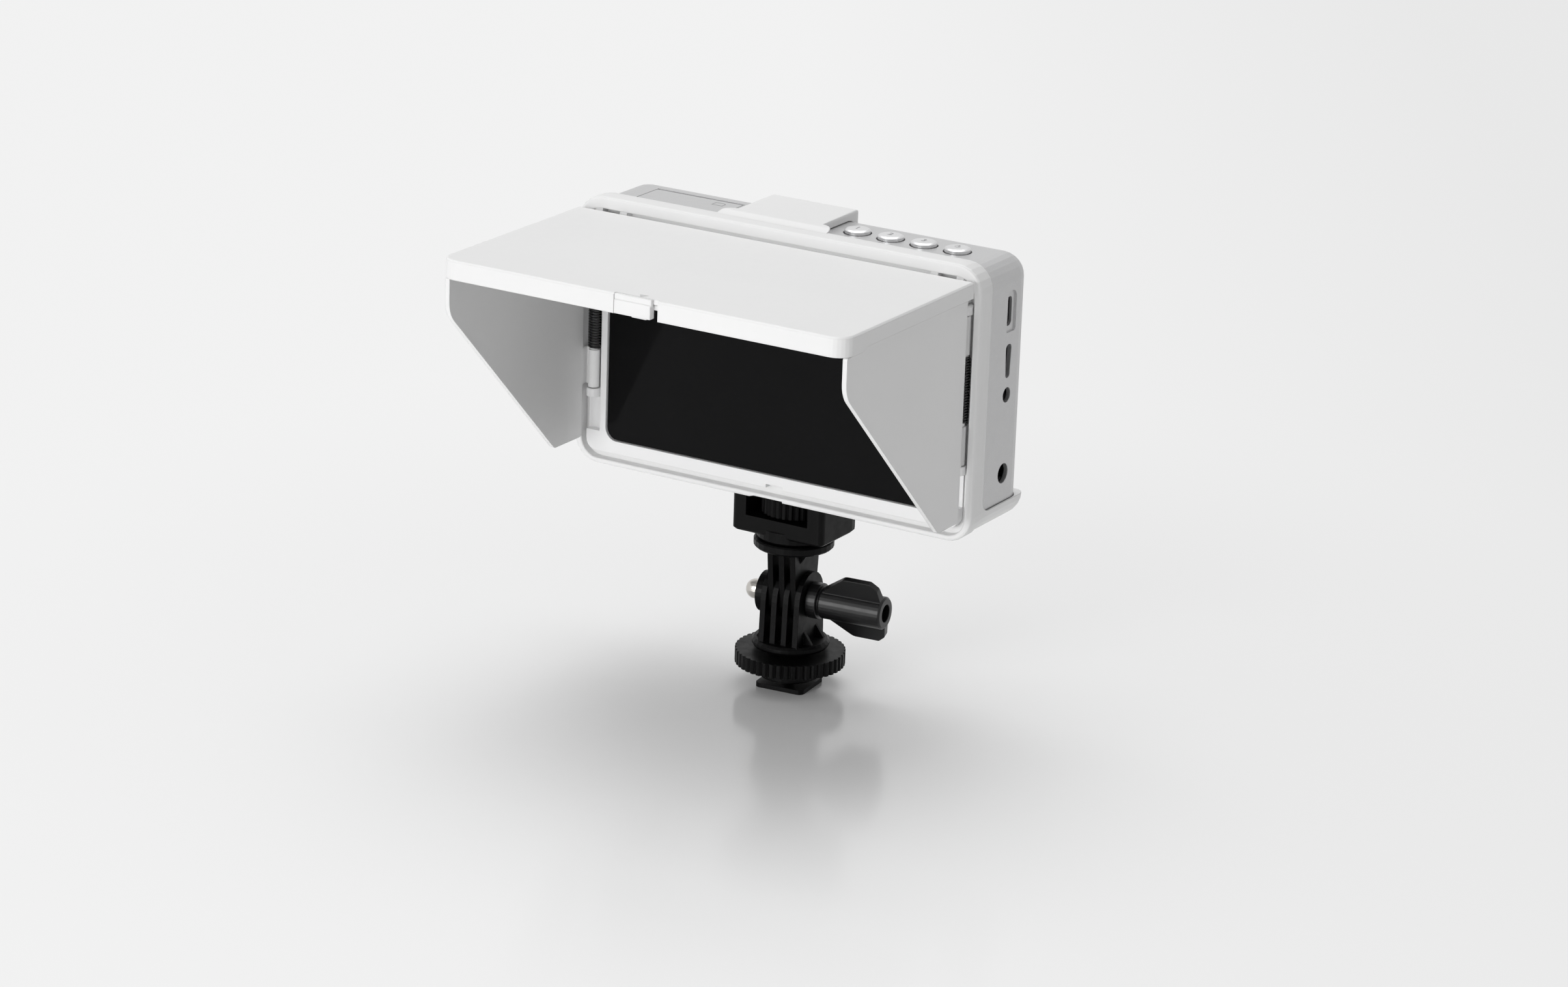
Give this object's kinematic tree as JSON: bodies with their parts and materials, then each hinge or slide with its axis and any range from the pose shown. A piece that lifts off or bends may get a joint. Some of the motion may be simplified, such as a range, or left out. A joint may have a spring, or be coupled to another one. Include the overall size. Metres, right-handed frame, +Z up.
{
  "type": "camera field monitor with sun hood",
  "caption": "Camera-top field monitor in a folding sun hood with sprung side flaps and a lid, on a tilting, turning hot-shoe mount.",
  "frame": {"origin": "centre of the shoe foot's bottom face, on the lock wheel's and swivel's axis", "axes": "+X to the right as the screen is seen, -Y the way the screen faces, +Z up along the mount's axis"},
  "size_m": [0.1592, 0.1246, 0.1698],
  "materials": {
    "hood_white": "satin white moulded plastic",
    "bezel_white": "satin white moulded plastic",
    "body_silver": "satin silver",
    "button_silver": "bright metallised plastic",
    "mount_black": "fine-grained black moulded plastic",
    "knob_black": "semi-gloss black moulded plastic",
    "steel": "polished steel",
    "spring_black": "blackened spring wire",
    "glass_black": "dark screen glass",
    "panel_black": "display panel",
    "backlight_white": "light guide and diffuser stack",
    "board_green": "circuit board laminate",
    "socket_black": "black moulded plastic",
    "socket_metal": "plated sheet metal",
    "pad_rubber": "matt rubber",
    "brass": "turned brass"
  },
  "bodies": {
    "shoe": {"shoe_foot": "mount_black", "shoe_stud": "steel", "tilt_base": "mount_black", "cap_nut": "steel"},
    "lock_wheel": {"lock_wheel": "mount_black"},
    "yoke": {"tilt_yoke": "mount_black", "swivel_screw": "steel", "swivel_washer": "steel"},
    "knob": {"thumb_knob": "knob_black", "tilt_bolt": "steel"},
    "head": {"mount_block": "mount_black", "block_pad": "pad_rubber", "hood_frame": "hood_white", "screen_bezel": "bezel_white", "cover_glass": "glass_black", "lcd_panel": "panel_black", "backlight": "backlight_white", "rear_shell": "body_silver", "rear_screw_1": "steel", "rear_screw_2": "steel", "rear_screw_3": "steel", "rear_screw_4": "steel", "main_board": "board_green", "usb_socket": "socket_metal", "video_socket": "socket_metal", "audio_socket": "socket_black", "power_socket": "socket_black", "card_socket": "socket_metal", "thread_insert": "brass", "button_board": "board_green", "tact_switch_1": "socket_black", "tact_switch_2": "socket_black", "tact_switch_3": "socket_black", "tact_switch_4": "socket_black", "card_cover_pin": "steel", "lid_pin_left": "steel", "lid_pin_right": "steel", "left_flap_pin": "steel", "right_flap_pin": "steel", "left_flap_spring": "spring_black", "right_flap_spring": "spring_black"},
    "captive_wheel": {"block_wheel": "mount_black", "mount_stud": "steel"},
    "lid": {"sun_lid": "hood_white"},
    "latch": {"lid_latch": "hood_white"},
    "left_flap": {"left_flap": "hood_white"},
    "right_flap": {"right_flap": "hood_white"},
    "button_1": {"button_1": "button_silver"},
    "button_2": {"button_2": "button_silver"},
    "button_3": {"button_3": "button_silver"},
    "button_4": {"button_4": "button_silver"},
    "card_cover": {"card_cover": "body_silver"}
  },
  "joints": [
    {"name": "lock_wheel_spin", "type": "hinge", "parent": "shoe", "child": "lock_wheel", "pos_m": [0, 0, 0.0109], "axis": [0, 0, 1], "continuous": true},
    {"name": "tilt", "type": "hinge", "parent": "shoe", "child": "yoke", "pos_m": [0, 0, 0.0327], "axis": [0.9958, 0.0915, 0], "range_deg": [-90, 90]},
    {"name": "tilt_knob_spin", "type": "hinge", "parent": "shoe", "child": "knob", "pos_m": [0, 0, 0.0327], "axis": [0.9958, 0.0915, 0], "continuous": true},
    {"name": "swivel", "type": "hinge", "parent": "yoke", "child": "head", "pos_m": [0, 0, 0.056], "axis": [0, 0, 1], "continuous": true},
    {"name": "captive_wheel_spin", "type": "hinge", "parent": "head", "child": "captive_wheel", "pos_m": [0, 0, 0.0672], "axis": [0, 0, 1], "continuous": true},
    {"name": "lid_lift", "type": "hinge", "parent": "head", "child": "lid", "pos_m": [0, -0.0177, 0.1615], "axis": [-1, 0, 0], "range_deg": [0, 30]},
    {"name": "latch_slide", "type": "slide", "parent": "lid", "child": "latch", "axis": [1, 0, 0], "range_m": [0, 0.0025], "stiffness_N_per_m": 200, "springref_m": -0.001},
    {"name": "left_flap_fold", "type": "hinge", "parent": "head", "child": "left_flap", "pos_m": [-0.0719, -0.019, 0.12], "axis": [0, 0, 1], "range_deg": [0, 90], "stiffness_Nm_per_rad": 0.008, "springref_deg": -28.65},
    {"name": "right_flap_fold", "type": "hinge", "parent": "head", "child": "right_flap", "pos_m": [0.0739, -0.019, 0.12], "axis": [0, 0, -1], "range_deg": [0, 90], "stiffness_Nm_per_rad": 0.008, "springref_deg": -28.65},
    {"name": "button_1_press", "type": "slide", "parent": "head", "child": "button_1", "axis": [0, 0, -1], "range_m": [0, 0.0008], "stiffness_N_per_m": 900, "springref_m": -0.0004},
    {"name": "button_2_press", "type": "slide", "parent": "head", "child": "button_2", "axis": [0, 0, -1], "range_m": [0, 0.0008], "stiffness_N_per_m": 900, "springref_m": -0.0004},
    {"name": "button_3_press", "type": "slide", "parent": "head", "child": "button_3", "axis": [0, 0, -1], "range_m": [0, 0.0008], "stiffness_N_per_m": 900, "springref_m": -0.0004},
    {"name": "button_4_press", "type": "slide", "parent": "head", "child": "button_4", "axis": [0, 0, -1], "range_m": [0, 0.0008], "stiffness_N_per_m": 900, "springref_m": -0.0004},
    {"name": "card_cover_open", "type": "hinge", "parent": "head", "child": "card_cover", "pos_m": [-0.04695, 0.00735, 0.16605], "axis": [-1, 0, 0], "range_deg": [0, 100]}
  ]
}
